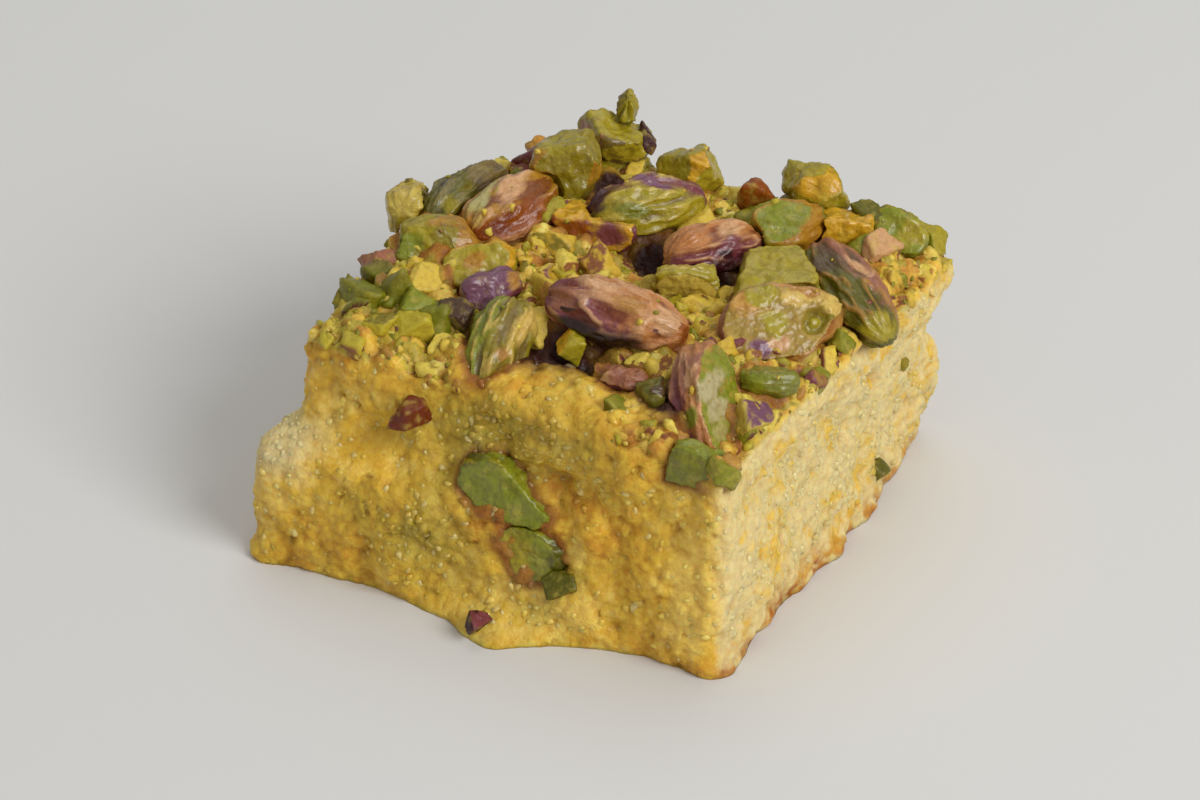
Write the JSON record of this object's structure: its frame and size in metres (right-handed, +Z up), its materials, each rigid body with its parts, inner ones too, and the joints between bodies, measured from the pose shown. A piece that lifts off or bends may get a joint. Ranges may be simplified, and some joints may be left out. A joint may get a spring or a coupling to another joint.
{
  "type": "pistachio semolina cake square",
  "caption": "Cut square of syrup-soaked semolina cake, its crumb rough and golden, with whole and chopped pistachios pressed into its top.",
  "frame": {"origin": "middle of the flat foot, on the surface that the cake stands on", "axes": "+Z up, -Y towards the front face, +X towards the right face, along the cake's width"},
  "size_m": [0.062, 0.0597, 0.0356],
  "materials": {
    "crumb": "syrup-soaked golden semolina crumb, moist, with pale grains",
    "kernel_skin": "rose-brown and green pistachio skin, glazed with syrup",
    "kernel_flesh": "yellow-green chopped pistachio, glazed with syrup"
  },
  "bodies": {
    "root": {"cake": "crumb", "kernel_behind": "kernel_skin", "kernel_dark": "kernel_skin", "kernel_edge": "kernel_skin", "kernel_front": "kernel_skin", "kernel_grey": "kernel_skin", "kernel_orange": "kernel_skin", "kernel_pink": "kernel_skin", "kernel_red": "kernel_skin", "kernel_ridged": "kernel_skin", "kernel_side": "kernel_skin", "kernel_tan": "kernel_skin", "chip_purple": "kernel_flesh", "chip_upright": "kernel_flesh", "chunk_back": "kernel_flesh", "chunk_curl": "kernel_flesh", "chunk_far": "kernel_flesh", "chunk_golden": "kernel_flesh", "chunk_left": "kernel_flesh", "chunk_middle": "kernel_flesh", "chunk_olive": "kernel_flesh", "chunk_rear": "kernel_flesh", "chunk_right": "kernel_flesh", "chunk_shaded": "kernel_flesh", "chunk_smooth": "kernel_flesh", "chunk_tall": "kernel_flesh", "half_green": "kernel_flesh", "half_left": "kernel_flesh", "half_red": "kernel_flesh", "half_side": "kernel_flesh", "sliver_lime": "kernel_flesh", "sliver_purple": "kernel_flesh", "wedge_front": "kernel_flesh"}
  },
  "joints": []
}
